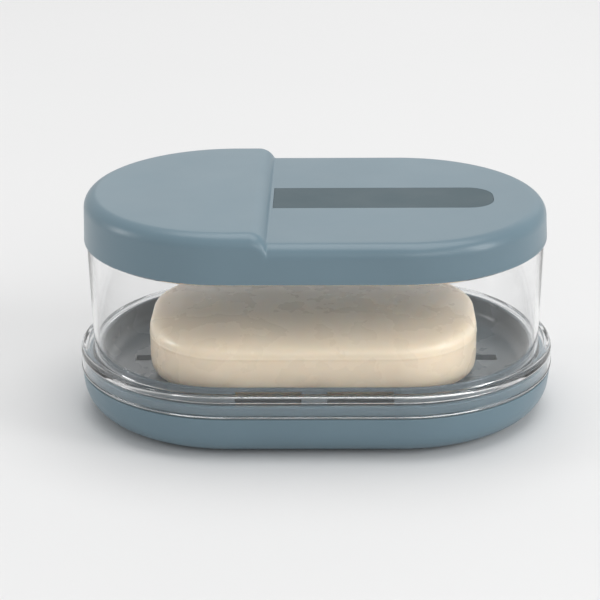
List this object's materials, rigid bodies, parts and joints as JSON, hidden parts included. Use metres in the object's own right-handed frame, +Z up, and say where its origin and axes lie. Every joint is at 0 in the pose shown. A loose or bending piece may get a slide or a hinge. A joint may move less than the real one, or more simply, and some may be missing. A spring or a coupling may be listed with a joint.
{
  "type": "travel soap box",
  "caption": "Stadium-shaped travel soap box with a sump base, a slotted drain tray, a clear flanged cover and a lift-off lid with a stepped top, shown with a bar of soap.",
  "frame": {"origin": "on the floor under the middle of the box's length and width", "axes": "+X along the box, away from the raised part of the lid; +Y across it to the back; +Z up"},
  "size_m": [0.135, 0.0878, 0.0643],
  "materials": {
    "shell_plastic": "satin moulded blue-grey",
    "clear_plastic": "clear polished",
    "tray_plastic": "satin moulded grey-blue",
    "soap": "smooth cream soap with a soft gloss",
    "seal_rubber": "soft grey silicone",
    "pad_rubber": "matt dark rubber",
    "label_film": "satin dark slate film"
  },
  "bodies": {
    "base": {"base_tray": "shell_plastic", "foot_pads": "pad_rubber"},
    "tray": {"drain_tray": "tray_plastic"},
    "soap": {"soap_bar": "soap"},
    "cover": {"clear_cover": "clear_plastic", "base_seal": "seal_rubber"},
    "lid": {"lid_cap": "shell_plastic", "lid_seal": "seal_rubber", "label_strip": "label_film"}
  },
  "joints": [
    {"name": "tray_lift", "type": "slide", "parent": "base", "child": "tray", "axis": [0, 0, 1], "range_m": [0, 0.03]},
    {"name": "soap_lift", "type": "slide", "parent": "tray", "child": "soap", "axis": [0, 0, 1], "range_m": [0, 0.022]},
    {"name": "cover_lift", "type": "slide", "parent": "tray", "child": "cover", "axis": [0, 0, 1], "range_m": [0, 0.05]},
    {"name": "lid_lift", "type": "slide", "parent": "cover", "child": "lid", "axis": [0, 0, 1], "range_m": [0, 0.04]}
  ]
}
